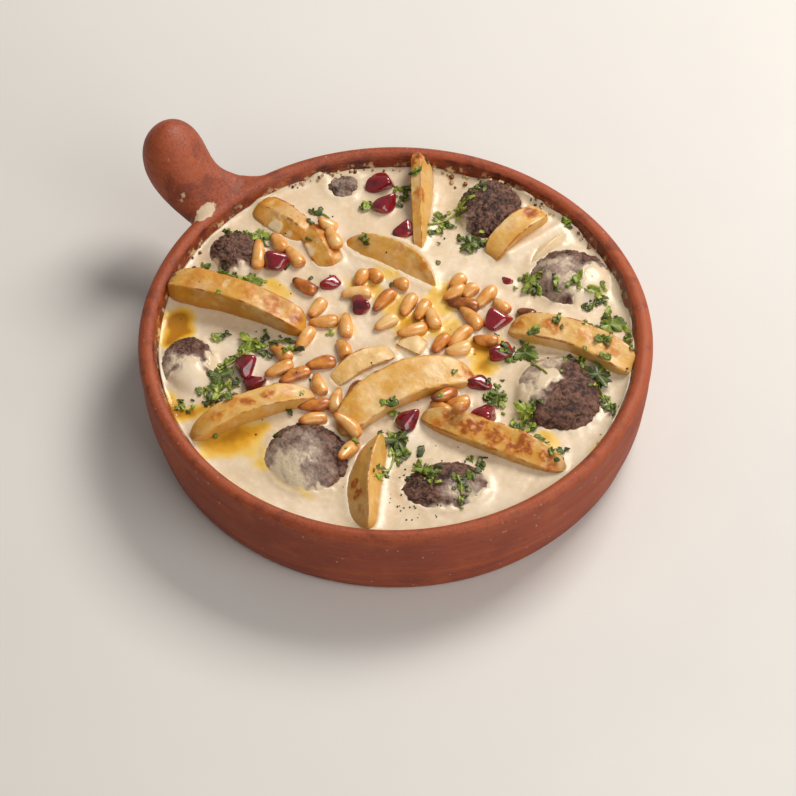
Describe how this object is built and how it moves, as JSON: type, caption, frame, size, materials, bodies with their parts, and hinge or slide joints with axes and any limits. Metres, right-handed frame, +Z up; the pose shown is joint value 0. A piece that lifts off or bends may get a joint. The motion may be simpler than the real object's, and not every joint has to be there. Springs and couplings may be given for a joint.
{
  "type": "dish of meat fatteh",
  "caption": "Round shallow terracotta pan with a stub handle, filled with cream sauce, meatballs and potato wedges, topped with pomegranate, pine nuts and parsley.",
  "frame": {"origin": "middle of the pan's flat base, on the surface that it stands on", "axes": "+Z up out of the open pan, -X along the stub handle, +Y to the left when looking along +X"},
  "size_m": [0.249, 0.21, 0.061],
  "materials": {
    "terracotta": "unglazed fired clay, matt orange brown with wheel lines, glossy darker glaze inside",
    "sauce": "smooth cream-coloured yoghurt sauce, glossy, with amber pools of butter and golden pine nuts on it",
    "meat": "coarse crumbly grey-brown minced meat, moist, partly under a thin film of sauce",
    "potato": "fried potato, golden with browned edges, slightly oily",
    "pomegranate": "deep crimson, wet and glossy",
    "parsley": "fresh dark green leaf with a wet sheen",
    "pine_nut": "toasted pine nut, golden with darker tips, slightly glossy; fused to the sauce and wedges in the solids"
  },
  "bodies": {
    "root": {"pan": "terracotta", "sauce": "sauce", "meatball_1": "meat", "meatball_2": "meat", "meatball_3": "meat", "meatball_4": "meat", "meatball_5": "meat", "meatball_6": "meat", "meatball_7": "meat", "meatball_8": "meat", "potato_1": "potato", "potato_2": "potato", "potato_3": "potato", "potato_4": "potato", "potato_5": "potato", "potato_6": "potato", "potato_7": "potato", "potato_8": "potato", "potato_9": "potato", "potato_10": "potato", "potato_11": "potato", "potato_12": "potato", "potato_13": "potato", "potato_14": "potato", "aril_1": "pomegranate", "aril_2": "pomegranate", "aril_3": "pomegranate", "aril_4": "pomegranate", "aril_5": "pomegranate", "aril_6": "pomegranate", "aril_7": "pomegranate", "aril_8": "pomegranate", "aril_9": "pomegranate", "aril_10": "pomegranate", "aril_11": "pomegranate", "aril_12": "pomegranate", "aril_13": "pomegranate", "aril_14": "pomegranate", "parsley_1": "parsley", "parsley_2": "parsley", "parsley_3": "parsley", "parsley_4": "parsley", "parsley_5": "parsley", "parsley_6": "parsley", "parsley_7": "parsley", "parsley_8": "parsley", "parsley_9": "parsley", "parsley_10": "parsley", "parsley_11": "parsley", "parsley_12": "parsley", "parsley_13": "parsley"}
  },
  "joints": []
}
